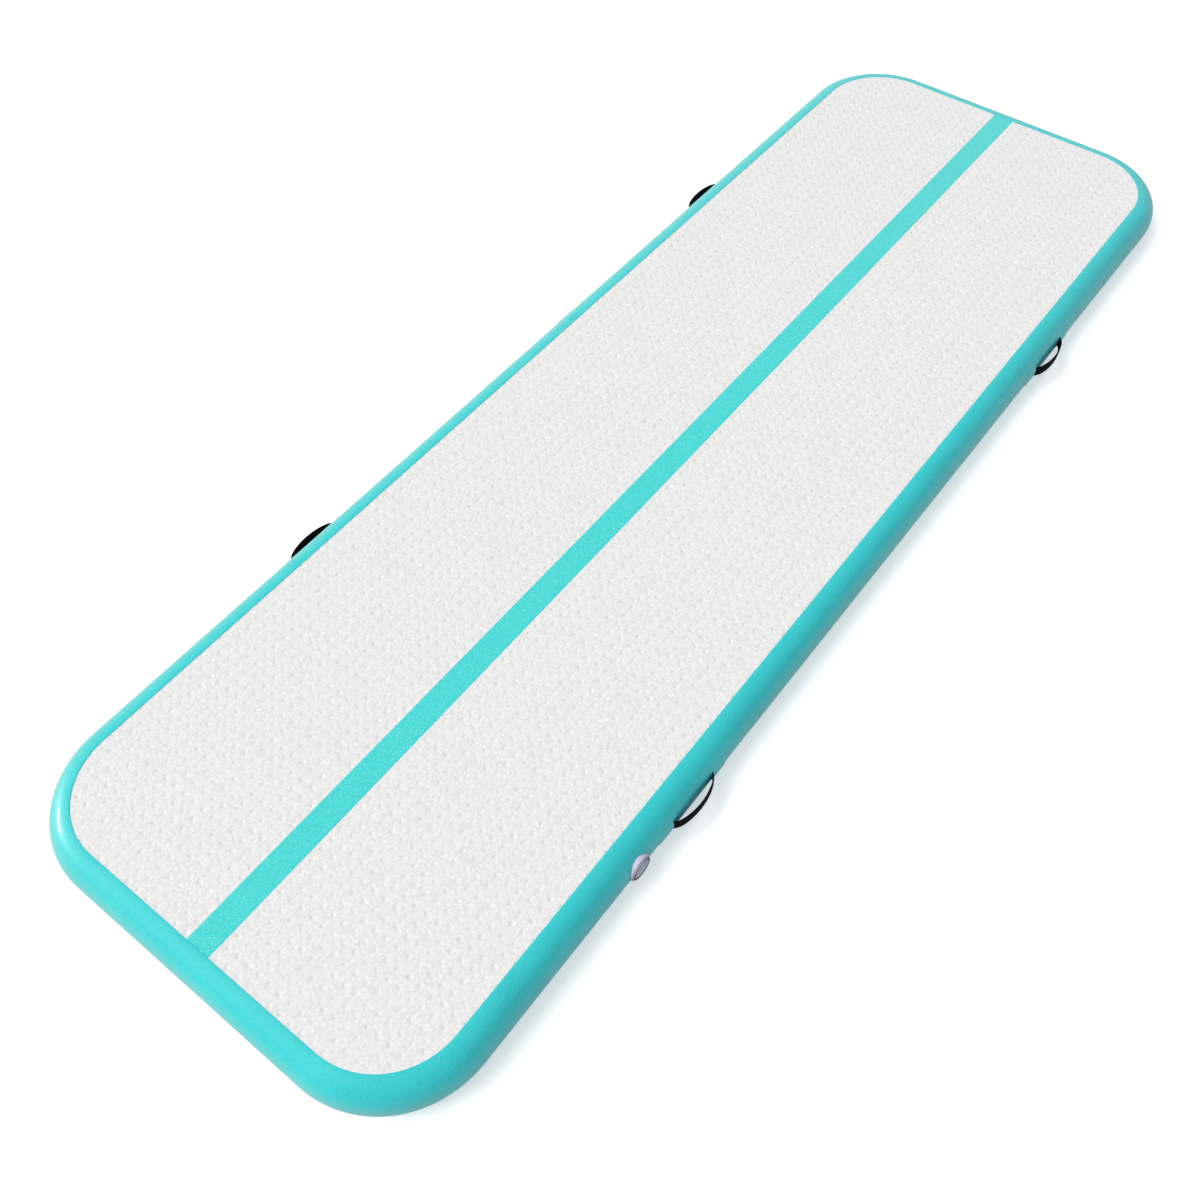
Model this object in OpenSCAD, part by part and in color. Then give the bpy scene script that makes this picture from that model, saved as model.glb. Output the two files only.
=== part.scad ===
// Inflatable air track mat: a drop-stitch tumbling mat with a glued side wall,
// a centre line, four webbing carry handles and a twist-cap inflation valve.
// Millimetres. +Y runs along the mat to its rear, +X is the right and valve side, +Z is up.
// The origin is the centre of the underside, on the floor.

/* [Mat] */
// Overall length of the inflated mat
mat_length = 3050; // [2400:50:4000]
// Overall width of the inflated mat
mat_width = 1000; // [900:10:1200]
// Inflated thickness
mat_thickness = 102; // [100:1:106]
// Plan radius of the corners at the outermost edge
corner_r = 216; // [160:2:260]
// Thickness of the top and bottom drop-stitch skins
skin_t = 1.2; // [0.9:0.1:1.5]
// Thickness of the outer side wall band
band_t = 0.9; // [0.7:0.1:1.0]
// Thickness of the inner side strip
strip_t = 0.8; // [0.6:0.1:0.9]
// How far the band laps onto the flat faces
lip = 1.5; // [1:0.5:6]
// Width of the centre line
stripe_w = 55; // [40:1:80]

/* [Drop-stitch yarns] */
// Number of yarn bundles across the width
yarn_nx = 8; // [4:1:12]
// Number of yarn bundles along the length
yarn_ny = 25; // [10:1:36]
// Radius of one yarn bundle
yarn_r = 1.2; // [0.5:0.1:2]

/* [Handles] */
// Distance of the front pair of handles from the middle of the mat
handle_front = 715; // [500:5:800]
// Distance of the rear pair of handles from the middle of the mat
handle_rear = 745; // [500:5:800]
// Half of a loop's length along the wall
loop_half = 62.5; // [55:0.5:80]
// How far a loop stands out from the wall
loop_out = 19; // [17:1:26]
// Width of the webbing
webbing_w = 25; // [20:1:27]
// Thickness of the webbing
webbing_t = 1.8; // [1.4:0.1:2.2]

/* [Valve] */
// Distance of the valve from the middle of the mat, towards the front end
valve_y = 882; // [840:2:1100]
// Radius of the valve's outer flange
flange_r = 28; // [26:0.5:30]
// Radius of the pump port
port_r = 17.5; // [16:0.5:18]

/* [Hidden] */

teal = [0.29, 0.87, 0.85];
panel_grey = [0.91, 0.91, 0.91];
webbing_black = [0.04, 0.04, 0.04];
valve_lilac = [0.84, 0.81, 0.88];
rubber_grey = [0.25, 0.25, 0.27];

glue = 0.05;                         // bond line between glued layers
wall_r = mat_thickness / 2;          // radius of the bulging side wall
wall_fn = 180;                       // facets of the wall and of the plan corners
flat_r = corner_r - wall_r;          // corner radius where the flat face ends
corner_x = mat_width / 2 - corner_r;
corner_y = mat_length / 2 - corner_r;
flat_x = corner_x + flat_r;          // where the flat face ends and the bulge starts
flat_y = corner_y + flat_r;

// Layers of the wall, from the band inwards
strip_ro = wall_r - band_t - glue;
strip_ri = strip_ro - strip_t;
margin_ro = strip_ri - glue;         // glued margins of the skins
margin_ri = margin_ro - skin_t;
margin_angle = 48;                   // margins run from the faces to this far from mid-height
strip_angle = 86;
top_z = mat_thickness - band_t - glue; // upper surface of the top skin

// ---------- shared shapes ----------

module ring_2d(outer_r, inner_r) {
  difference() {
    circle(r = outer_r, $fn = wall_fn);
    circle(r = inner_r, $fn = wall_fn);
  }
}

// Sector of a ring about the middle of the bulge, in the (outward, up) plane
module ring_sector(outer_r, inner_r, start, end) {
  steps = 4;
  reach = 1.5 * outer_r;
  arc = [for (k = [0:steps])
    let (a = start + (end - start) * k / steps) reach * [cos(a), sin(a)]];
  translate([0, wall_r]) intersection() {
    ring_2d(outer_r, inner_r);
    polygon(concat([[0, 0]], arc));
  }
}

// Half ring, from the top of the bulge round to the bottom
module half_ring(outer_r, inner_r) {
  translate([0, wall_r]) intersection() {
    ring_2d(outer_r, inner_r);
    translate([0, -2 * outer_r]) square([2 * outer_r, 4 * outer_r]);
  }
}

// Sweeps a 2D profile (outward, up) round the edge of the flat face
module rim() {
  for (k = [0:3])
    translate([(k == 0 || k == 3) ? corner_x : -corner_x, k < 2 ? corner_y : -corner_y, 0])
      rotate([0, 0, 90 * k])
        rotate_extrude(angle = 90, $fn = wall_fn) translate([flat_r, 0]) children();
  for (s = [1, -1]) {
    // long sides
    translate([s * flat_x, s * corner_y, 0]) rotate([90, 0, s > 0 ? 0 : 180])
      linear_extrude(2 * corner_y) children();
    // ends
    translate([-s * corner_x, s * flat_y, 0]) rotate([90, 0, s * 90])
      linear_extrude(2 * corner_x) children();
  }
}

// Rounded rectangle outline centred on the origin
module rounded_2d(w, h, r, fn = 48) {
  square([w - 2 * r, h], center = true);
  square([w, h - 2 * r], center = true);
  for (sx = [-1, 1], sy = [-1, 1])
    translate([sx * (w / 2 - r), sy * (h / 2 - r)]) circle(r = r, $fn = fn);
}

// Rounded rectangle plate, inset from the line where the bulge starts
module plate(inset, h) {
  linear_extrude(h)
    rounded_2d(2 * (flat_x - inset), 2 * (flat_y - inset), flat_r - inset, fn = wall_fn);
}

// ---------- mat ----------

// The top sheet ends under the lip of the band and steps down to its glued margin
module top_skin() {
  edge = 0.2; // inset of the step
  margin_z = wall_r + margin_ri;
  color(panel_grey) {
    translate([0, 0, top_z - skin_t]) plate(edge + skin_t / 2, skin_t);
    rim() {
      translate([-edge - skin_t, margin_z]) square([skin_t, top_z - margin_z]);
      translate([-edge - skin_t / 2, margin_z]) square([edge + skin_t / 2, skin_t]);
      ring_sector(margin_ro, margin_ri, margin_angle, 90);
    }
  }
}

// The underside sheet lies flat on the floor and steps up to pass over the lip of the band
module bottom_skin() {
  edge = lip + 0.4;
  color(panel_grey) {
    plate(edge + skin_t / 2, skin_t);
    rim() {
      translate([-edge - skin_t, 0]) square([skin_t, wall_r - margin_ri]);
      translate([-edge - skin_t / 2, wall_r - margin_ro]) square([edge + skin_t / 2, skin_t]);
      ring_sector(margin_ro, margin_ri, -90, -margin_angle);
    }
  }
}

// Grid of bundles between the skins, left out where the plan corners cut it off
module drop_stitch_yarns() {
  edge_inset = 32;
  corner_inset = 20;
  half_x = flat_x - edge_inset;
  half_y = flat_y - edge_inset;
  pitch_x = 2 * half_x / (yarn_nx - 1);
  pitch_y = 2 * half_y / (yarn_ny - 1);
  color("white")
    for (i = [0:yarn_nx - 1], j = [0:yarn_ny - 1])
      let (x = -half_x + i * pitch_x, y = -half_y + j * pitch_y,
           past_x = max(abs(x) - corner_x, 0), past_y = max(abs(y) - corner_y, 0))
        if (norm([past_x, past_y]) < flat_r - corner_inset)
          translate([x, y, skin_t + glue])
            cylinder(r = yarn_r, h = top_z - 2 * skin_t - 2 * glue, $fn = 24);
}

module inner_side_strip() {
  color(teal) difference() {
    rim() ring_sector(strip_ro, strip_ri, -strip_angle, strip_angle);
    valve_hole();
  }
}

module side_wall_band() {
  lip_z = top_z + glue;
  color(teal) difference() {
    rim() {
      half_ring(wall_r, wall_r - band_t);
      translate([-lip, lip_z]) square([lip, mat_thickness - lip_z]);
      translate([-lip, 0]) square([lip, wall_r - margin_ro - glue]);
    }
    valve_hole();
  }
}

// Lap strip over the butt joint of the band, on the side without the valve
module side_band_splice() {
  start_y = 120;
  splice_length = 50;
  outer_r = wall_r + 0.6;
  half_angle = 78;
  color(teal) translate([-flat_x, start_y, 0]) rotate([90, 0, 180])
    linear_extrude(splice_length)
      ring_sector(outer_r, wall_r + glue, -half_angle, half_angle);
}

module centre_stripe() {
  stripe_t = 0.4;
  half = flat_y - lip - glue;
  color(teal) translate([-stripe_w / 2, -half, top_z + glue])
    cube([stripe_w, 2 * half, stripe_t]);
}

// ---------- handles ----------

patch_t = 0.7;
tail_t = 1.3;    // webbing tail under the patch
hinge_out = 1.5; // flex line of a handle, out from the wall

// Puts children at a handle: x out from the wall, y along it, z up,
// origin on the wall's outermost line
module at_handle(side, y) {
  translate([side * mat_width / 2, y, wall_r]) mirror([side < 0 ? 1 : 0, 0, 0]) children();
}

// Solid bar along the middle of the bulge, in the handle's frame
module handle_bar(r, length) {
  translate([-wall_r, length / 2, 0]) rotate([90, 0, 0])
    cylinder(r = r, h = length, $fn = wall_fn);
}

// Skin of the wall between two radii, cut to a rounded patch
module wall_skin(outer_r, inner_r, length, height, corner) {
  intersection() {
    difference() {
      handle_bar(outer_r, 2 * length);
      handle_bar(inner_r, 2 * length + 2);
    }
    translate([-wall_r + 5, 0, 0]) rotate([90, 0, 90])
      linear_extrude(wall_r + 10) rounded_2d(length, height, corner);
  }
}

module handle_patch(side, y) {
  overhang = 46; // past each end of the loop
  patch_h = 46;
  pocket_r = wall_r + glue + tail_t + glue;
  pocket = [20, 36, webbing_w + 0.6];
  slit = [20, 5, webbing_w + 1.2];
  color(teal) at_handle(side, y) difference() {
    union() {
      wall_skin(wall_r + glue + patch_t, wall_r + glue, 2 * (loop_half + overhang), patch_h, 12);
      // raised cover over each tail
      for (s = [-1, 1]) translate([0, s * (loop_half + 22), 0])
        wall_skin(pocket_r + patch_t, wall_r + glue, 40, webbing_w + 8, 4);
    }
    for (s = [-1, 1]) {
      // pocket that holds the webbing tail
      translate([0, s * (loop_half + 21), 0]) intersection() {
        handle_bar(pocket_r, 80);
        translate(-pocket / 2) cube(pocket);
      }
      // slit where the loop comes out
      translate([0, s * (loop_half - 0.8), 0] - slit / 2) cube(slit);
    }
  }
}

// The two stitched and glued ends of the strap, under the patch
module handle_tails(side, y) {
  tail_length = 32;
  color(webbing_black) at_handle(side, y)
    for (s = [-1, 1]) translate([0, s * (loop_half + 19.5), 0])
      wall_skin(wall_r + glue + tail_t, wall_r + glue, tail_length, webbing_w, 1);
}

// Outline of the loop, as (out, along) for angles 0 to 180: between an ellipse
// and a parabola. The direction is the unit tangent, the slope of the point.
ellipse_share = 0.75;
parabola_share = 1 - ellipse_share;
function loop_point(a) =
  [loop_out * (ellipse_share * sin(a) + parabola_share * sin(a) * sin(a)), -loop_half * cos(a)];
function loop_direction(a) =
  let (d = [loop_out * (ellipse_share * cos(a) + 2 * parabola_share * sin(a) * cos(a)),
            loop_half * sin(a)])
  d / norm(d);
function loop_inner_point(a) =
  let (d = loop_direction(a)) loop_point(a) + webbing_t * [-d[1], d[0]];

module handle_strap(side, y) {
  steps = 40;
  outer = [for (k = [0:steps]) loop_point(180 * k / steps)];
  inner = [for (k = [steps:-1:0]) loop_inner_point(180 * k / steps)];
  tip = [hinge_out + 0.2, 0.9];                   // (out, half height)
  shoulder = [hinge_out + 11, webbing_w / 2 + 1]; // where the full width is reached
  far_x = 60;
  color(webbing_black) at_handle(side, y) intersection() {
    translate([0, 0, -webbing_w / 2]) linear_extrude(webbing_w) polygon(concat(outer, inner));
    // the ends gather towards the flex line, so that the loop can swing clear of the wall
    rotate([90, 0, 0]) linear_extrude(4 * loop_half, center = true)
      polygon([[tip[0], -tip[1]], [shoulder[0], -shoulder[1]], [far_x, -shoulder[1]],
               [far_x, shoulder[1]], shoulder, tip]);
  }
}

// ---------- valve ----------
// Levels are z in the valve's frame: 0 on the wall's outermost line, positive outwards.

fit = 0.05;                // gap between touching valve parts
barrel_r = 20;
barrel_bottom = -34;
face_z = 2.5;              // outer face of the body
wall_hole_r = barrel_r + 0.4;
valve_patch_ro = strip_ri - glue;
valve_patch_ri = valve_patch_ro - 0.8;
gasket_r = 25;
gasket_t = 1;
stem_r = 3;
diaphragm_top = barrel_bottom - fit;
diaphragm_bottom = -36.1;
groove_z = -3.45;          // inner edge of the cap's ring groove
groove_w = 1.75;
swivel_pin_r = 1.5;

// Puts children at the valve: z out of the wall, y along the mat, x down
module at_valve() {
  translate([mat_width / 2, -valve_y, wall_r]) rotate([0, 90, 0]) children();
}

module valve_hole() {
  at_valve() cylinder(r = wall_hole_r, h = 60, center = true, $fn = 96);
}

// Solid round bar along the wall, about the middle of its bulge
module wall_bar(r) {
  length = 120;
  translate([0, length / 2, -wall_r]) rotate([90, 0, 0])
    cylinder(r = r, h = length, $fn = wall_fn);
}

// Cylinder on the valve's axis between two levels
module disc(r, from, to, fn = 96) {
  translate([0, 0, from]) cylinder(r = r, h = to - from, $fn = fn);
}

// Cylinder with a through hole
module washer(outer_r, inner_r, from, to, fn = 96, hole_fn = 96) {
  difference() {
    disc(outer_r, from, to, fn);
    disc(inner_r, from - 1, to + 1, hole_fn);
  }
}

// Box centred on the valve's axis between two levels
module block(size_x, size_y, from, to) {
  translate([-size_x / 2, -size_y / 2, from]) cube([size_x, size_y, to - from]);
}

module valve_patch() {
  color(panel_grey) at_valve() intersection() {
    difference() {
      wall_bar(valve_patch_ro);
      wall_bar(valve_patch_ri);
    }
    washer(34, wall_hole_r, -40, 10);
  }
}

module valve_gasket() {
  color(rubber_grey) at_valve() intersection() {
    difference() {
      wall_bar(wall_r + gasket_t);
      wall_bar(wall_r + glue);
    }
    washer(gasket_r, barrel_r + 0.1, -20, 10);
  }
}

module valve_body() {
  edge_z = 1.4;    // where the flange's bevel starts
  bevel = 1.5;
  opening_r = 12.5;
  color(valve_lilac) at_valve() {
    difference() {
      union() {
        // flange with a saddle base that follows the bulge of the wall
        difference() {
          union() {
            disc(flange_r, -14, edge_z, 128);
            translate([0, 0, edge_z])
              cylinder(r1 = flange_r, r2 = flange_r - bevel, h = face_z - edge_z, $fn = 128);
          }
          wall_bar(wall_r + glue);
          // seat of the gasket
          intersection() {
            wall_bar(wall_r + gasket_t + glue);
            disc(gasket_r + glue, -20, 10);
          }
        }
        disc(barrel_r, barrel_bottom, face_z, 128);
      }
      disc(port_r, barrel_bottom + 2, 8, 128);
      disc(opening_r, barrel_bottom - 1, barrel_bottom + 4);
    }
    // spider that guides the stem
    difference() {
      union() {
        for (a = [0, 60, 120]) rotate([0, 0, a])
          block(2 * (opening_r + 0.1), 2, barrel_bottom, barrel_bottom + 4);
        disc(5.5, barrel_bottom, barrel_bottom + 6, 48);
      }
      disc(stem_r + fit, barrel_bottom - 1, barrel_bottom + 9, 48);
    }
  }
}

// Ring behind the patch, with six notches in its edge
module valve_nut() {
  notch = [4, 5, 6];
  color(valve_lilac) at_valve() intersection() {
    wall_bar(valve_patch_ri - glue);
    difference() {
      washer(27, barrel_r + 0.06, -19, 1, 128, 128);
      for (a = [30:60:330]) rotate([0, 0, a]) translate([25, -notch[1] / 2, -19.5]) cube(notch);
    }
  }
}

module valve_stem() {
  color(valve_lilac) at_valve() {
    disc(stem_r, -39.5, -11.5, 48);
    disc(8, -12, -9.4, 64);      // outer head
    block(12, 3, -9.5, -7.5);    // bar across the head
    disc(4.4, -41, -39.1, 48);   // inner end
  }
}

// Coil of round wire: half rings tilted one way and the other,
// so that each runs smoothly into the next
module valve_spring() {
  coil_r = 5.2;
  wire_r = 0.45;
  half_turns = 10;
  bottom = -27.5;
  top = -12.5;
  rise = (top - bottom) / half_turns;
  tilt = atan(rise / (2 * coil_r));
  sleeve_length = 0.3;
  color("silver") at_valve() {
    for (k = [0:half_turns - 1])
      translate([0, 0, bottom + (k + 0.5) * rise])
        rotate([0, k % 2 == 0 ? tilt : -tilt, 0]) rotate([0, 0, k % 2 == 0 ? 0 : 180])
          rotate_extrude(angle = 180, $fn = 48)
            translate([coil_r / cos(tilt), 0]) circle(r = wire_r, $fn = 20);
    // a short sleeve over each place where two half rings meet
    for (k = [1:half_turns - 1])
      translate([k % 2 == 0 ? coil_r : -coil_r, sleeve_length / 2, bottom + k * rise])
        rotate([90, 0, 0]) cylinder(r = wire_r + 0.04, h = sleeve_length, $fn = 20);
  }
}

module valve_diaphragm() {
  color(rubber_grey) at_valve()
    washer(15.5, stem_r + fit, diaphragm_bottom, diaphragm_top, 96, 48);
}

module diaphragm_retainer() {
  color(valve_lilac) at_valve()
    washer(9, stem_r + fit, -39, diaphragm_bottom - fit, 64, 48);
}

module valve_cap() {
  cap_r = 24.5;
  cap_bottom = face_z + 0.1;
  edge_z = 4.4; // where the bevel starts
  dish_r = 21;
  color(valve_lilac) at_valve() {
    difference() {
      union() {
        disc(cap_r, cap_bottom, edge_z, 128);
        translate([0, 0, edge_z]) cylinder(r1 = cap_r, r2 = cap_r - 1, h = 1, $fn = 128);
        disc(port_r - 0.08, -5, cap_bottom, 128);
      }
      // shallow dish in the face
      disc(dish_r, 4, 7, 128);
      // open skirt, with a boss for the leash swivel
      difference() {
        disc(14, -6, 2.2);
        disc(4, -0.3, 4.7, 48);
      }
      disc(swivel_pin_r + fit, -1, 3.2, 32);
      // groove for the ring
      rotate_extrude($fn = 128) translate([port_r - 1.75, groove_z]) square([2, groove_w]);
    }
    // grip bar across the dish
    block(6, 2 * (dish_r - fit), 3.9, 5.6);
  }
}

module cap_o_ring() {
  color(rubber_grey) at_valve() translate([0, 0, groove_z + groove_w / 2])
    rotate_extrude($fn = 128) translate([port_r - 0.9, 0]) circle(r = 0.8, $fn = 32);
}

module leash_swivel() {
  color(valve_lilac) at_valve() {
    disc(3.2, -2.5, -1.3, 48);
    disc(swivel_pin_r, -1.4, 3, 32);
  }
}

// Flexible leash: an eye round the swivel, a run towards the lower side of the port,
// then a leg inwards along the port
module cap_leash() {
  leash_w = 4;
  reach = 13.2;
  leg_t = 0.9;
  bottom = -1.25;
  top = -0.4;
  leg_end = -20;
  color(rubber_grey) at_valve() difference() {
    union() {
      disc(4.2, bottom, top, 48);
      translate([0, -leash_w / 2, bottom]) cube([reach, leash_w, top - bottom]);
      translate([reach - leg_t, -leash_w / 2, leg_end]) cube([leg_t, leash_w, top - leg_end]);
    }
    disc(swivel_pin_r + 0.06, -2, 1, 32);
  }
}

top_skin();
bottom_skin();
drop_stitch_yarns();
inner_side_strip();
side_wall_band();
side_band_splice();
centre_stripe();
handle_patch(1, -handle_front);  // handle_patch_right_front
handle_patch(1, handle_rear);  // handle_patch_right_rear
handle_patch(-1, -handle_front);  // handle_patch_left_front
handle_patch(-1, handle_rear);  // handle_patch_left_rear
handle_tails(1, -handle_front);  // handle_tails_right_front
handle_tails(1, handle_rear);  // handle_tails_right_rear
handle_tails(-1, -handle_front);  // handle_tails_left_front
handle_tails(-1, handle_rear);  // handle_tails_left_rear
handle_strap(1, -handle_front);  // handle_strap_right_front
handle_strap(1, handle_rear);  // handle_strap_right_rear
handle_strap(-1, -handle_front);  // handle_strap_left_front
handle_strap(-1, handle_rear);  // handle_strap_left_rear
valve_patch();
valve_gasket();
valve_body();
valve_nut();
valve_stem();
valve_spring();
valve_diaphragm();
diaphragm_retainer();
valve_cap();
cap_o_ring();
leash_swivel();
cap_leash();
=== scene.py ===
# An inflatable drop-stitch mat: pale faces, a bulging teal side wall, a raised centre line,
# four webbing handles and a screw-capped air valve with a leash.
# It lies flat with its underside at z = 0, centred on the origin: width along X, length along Y.
# The valve is in the +X wall and opens towards +X.
import math
from contextlib import contextmanager

import bmesh
import bpy
import numpy as np
from mathutils import Matrix, Vector


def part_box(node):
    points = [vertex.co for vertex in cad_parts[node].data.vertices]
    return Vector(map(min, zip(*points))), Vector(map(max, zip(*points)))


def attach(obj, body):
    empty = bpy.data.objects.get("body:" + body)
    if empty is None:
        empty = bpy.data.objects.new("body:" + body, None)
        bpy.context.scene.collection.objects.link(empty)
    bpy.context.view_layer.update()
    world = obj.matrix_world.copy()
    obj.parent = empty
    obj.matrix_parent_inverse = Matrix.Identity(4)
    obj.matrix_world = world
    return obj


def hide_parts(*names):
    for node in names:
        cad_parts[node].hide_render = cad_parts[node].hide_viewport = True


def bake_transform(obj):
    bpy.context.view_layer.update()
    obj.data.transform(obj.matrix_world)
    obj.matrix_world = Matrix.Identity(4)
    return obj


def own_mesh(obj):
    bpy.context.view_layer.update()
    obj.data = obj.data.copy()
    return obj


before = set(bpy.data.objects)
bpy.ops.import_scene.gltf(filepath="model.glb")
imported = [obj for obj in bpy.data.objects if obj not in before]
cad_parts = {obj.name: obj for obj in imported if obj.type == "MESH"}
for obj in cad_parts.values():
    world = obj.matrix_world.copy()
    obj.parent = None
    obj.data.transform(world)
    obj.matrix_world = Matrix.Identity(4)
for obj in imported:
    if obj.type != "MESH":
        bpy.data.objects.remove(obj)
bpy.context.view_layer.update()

MM = 0.001
scene = bpy.context.scene

# ---------------------------------------------------------------- driving sizes
_, band_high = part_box("side_wall_band")
HALF_W = band_high.x
HALF_L = band_high.y
THICK = band_high.z
WALL_R = THICK / 2                  # the wall bulges in a half circle, centred at this height
CORNER = 216 * MM                   # corner radius, at the bulge's widest
FACE_CORNER = CORNER - WALL_R       # corner radius of the flat face
CORNER_X = HALF_W - CORNER          # centres of the corner arcs
CORNER_Y = HALF_L - CORNER
LIP = 1.5 * MM                      # how far the wall laps over the flat faces
PANEL_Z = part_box("top_skin")[1].z
MARGIN_R = WALL_R - 1.8 * MM        # outer radius of the skins' margins under the wall
LINE_LOW, LINE_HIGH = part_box("centre_stripe")

cap_low, cap_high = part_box("valve_cap")
VALVE = Vector((HALF_W, (cap_low.y + cap_high.y) / 2, WALL_R))

LOOP_HALF = 62.5 * MM               # half the length of a handle's loop
SLIT = LOOP_HALF - 0.1 * MM         # middle of a patch's slit, from the loop's middle

# webbing weave: warp column width, weft pick length, herringbone slant
RIB_PITCH = 1.56 * MM
PICK_PITCH = 2.1 * MM
SLANT_PITCH = 3.1 * MM

# each handle: side (+1 or -1 along X), middle y, reach out from the wall
HANDLES = {}
for handle in ("right_front", "right_rear", "left_front", "left_rear"):
    low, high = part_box("handle_strap_" + handle)
    HANDLES[handle] = (1 if high.x > 0 else -1, (low.y + high.y) / 2,
                       max(high.x, -low.x) - HALF_W)


# ---------------------------------------------------------------- small maths
def ease(low, high, x):
    """0 below low, 1 above high, an S-curve between."""
    t = np.clip((np.asarray(x, float) - low) / (high - low), 0, 1)
    return t * t * (3 - 2 * t)


def lattice(ix, iy, seed):
    """A repeatable random value, -1..1, for each whole-number point."""
    ix = ix.astype(np.int64)
    iy = iy.astype(np.int64)
    bits = (ix * 374761393 + iy * 668265263 + seed * 974634777) & 0xFFFFFFFF
    bits = ((bits ^ (bits >> 13)) * 1274126177) & 0xFFFFFFFF
    bits = bits ^ (bits >> 16)
    return (bits & 0xFFFF) / 65535.0 * 2 - 1


def value_noise(x, y, seed):
    x = np.asarray(x, float)
    y = np.asarray(y, float)
    ix, iy = np.floor(x), np.floor(y)
    fx, fy = x - ix, y - iy
    fx, fy = fx * fx * (3 - 2 * fx), fy * fy * (3 - 2 * fy)
    near = lattice(ix, iy, seed) * (1 - fx) + lattice(ix + 1, iy, seed) * fx
    far = lattice(ix, iy + 1, seed) * (1 - fx) + lattice(ix + 1, iy + 1, seed) * fx
    return near * (1 - fy) + far * fy


def line_noise(x, seed):
    return value_noise(x, 0 * x, seed)


def points(*coords):
    """Coordinate arrays, broadcast together, as a flat list of points."""
    return np.stack(np.broadcast_arrays(*coords), -1).reshape(-1, len(coords))


def wall_point(radius, degrees):
    """Distance out from the flat face's edge, and height, at an angle up from level."""
    angle = math.radians(degrees)
    return radius * math.cos(angle), WALL_R + radius * math.sin(angle)


def resample(path, step):
    """Smooths a path by corner cutting, then places points evenly along it."""
    path = np.array(path, float)
    for _ in range(3):
        cut = [path[0]]
        for a, b in zip(path[:-1], path[1:]):
            cut += [0.75 * a + 0.25 * b, 0.25 * a + 0.75 * b]
        cut.append(path[-1])
        path = np.array(cut)
    lengths = np.linalg.norm(np.diff(path, axis=0), axis=1)
    dist = np.concatenate([[0], np.cumsum(lengths)])
    run = np.linspace(0, dist[-1], int(round(dist[-1] / step)) + 1)
    return np.stack([np.interp(run, dist, path[:, k]) for k in range(path.shape[1])], 1), run


def path_normals(path):
    """Unit vectors square to a flat path, on its right."""
    tangent = np.gradient(path, axis=0)
    tangent /= np.linalg.norm(tangent, axis=1)[:, None]
    return np.stack([tangent[:, 1], -tangent[:, 0]], 1)


def whole_section(half):
    """A strip's cross-section from the half that starts at one edge, by a half turn."""
    return np.array(half + [(-side, -face) for side, face in half])


# ---------------------------------------------------------------- mesh helpers
def make(name, verts, faces, uvs=None):
    mesh = bpy.data.meshes.new(name)
    mesh.from_pydata([tuple(v) for v in verts], [], [tuple(f) for f in faces])
    mesh.validate()
    mesh.update()
    ob = bpy.data.objects.new(name, mesh)
    scene.collection.objects.link(ob)
    if uvs is not None:
        layer = mesh.uv_layers.new(name="UVMap")
        corners = np.zeros(len(mesh.loops), np.int32)
        mesh.loops.foreach_get("vertex_index", corners)
        layer.data.foreach_set("uv", np.asarray(uvs, np.float32)[corners].ravel())
    return ob


@contextmanager
def editing(ob):
    bm = bmesh.new()
    bm.from_mesh(ob.data)
    yield bm
    bm.to_mesh(ob.data)
    bm.free()


def fix_normals(ob):
    with editing(ob) as bm:
        bmesh.ops.recalc_face_normals(bm, faces=bm.faces)
    return ob


def quads(rows, cols, wrap_rows=False, wrap_cols=False, flip=False, base=0):
    """Faces of a grid of points, index row * cols + column."""
    out = []
    for i in range(rows if wrap_rows else rows - 1):
        for j in range(cols if wrap_cols else cols - 1):
            a = base + i * cols + j
            b = base + ((i + 1) % rows) * cols + j
            c = base + ((i + 1) % rows) * cols + (j + 1) % cols
            d = base + i * cols + (j + 1) % cols
            out.append((a, d, c, b) if flip else (a, b, c, d))
    return out


def tube_faces(rings, around):
    """Faces of a tube of rings of points, closed at both ends."""
    first, last = range(around), range(rings * around - 1, (rings - 1) * around - 1, -1)
    return quads(rings, around, wrap_cols=True) + [tuple(first), tuple(last)]


def boolean(ob, tool, operation):
    modifier = ob.modifiers.new("b", "BOOLEAN")
    modifier.operation = operation
    modifier.solver = "EXACT"
    modifier.object = tool
    bpy.context.view_layer.update()
    depsgraph = bpy.context.evaluated_depsgraph_get()
    result = bpy.data.meshes.new_from_object(ob.evaluated_get(depsgraph))
    ob.modifiers.clear()
    old = ob.data
    ob.data = result
    bpy.data.meshes.remove(old)
    bpy.data.objects.remove(tool)


def dress(ob, mat):
    ob.data.materials.clear()
    ob.data.materials.append(mat)


def finish(ob, sharp, mat, node, body=None):
    """Shades smooth but for edges above an angle in degrees, gives the material, parents the piece to
    its body's empty if a body is given, and hides the CAD node it replaces.
    """
    ob.data.polygons.foreach_set("use_smooth", [True] * len(ob.data.polygons))
    limit = math.radians(sharp)
    with editing(ob) as bm:
        for edge in bm.edges:
            edge.smooth = not (len(edge.link_faces) == 2 and edge.calc_face_angle(0) > limit)
    dress(ob, mat)
    if body:
        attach(ob, body)
    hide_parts(node)


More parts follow.
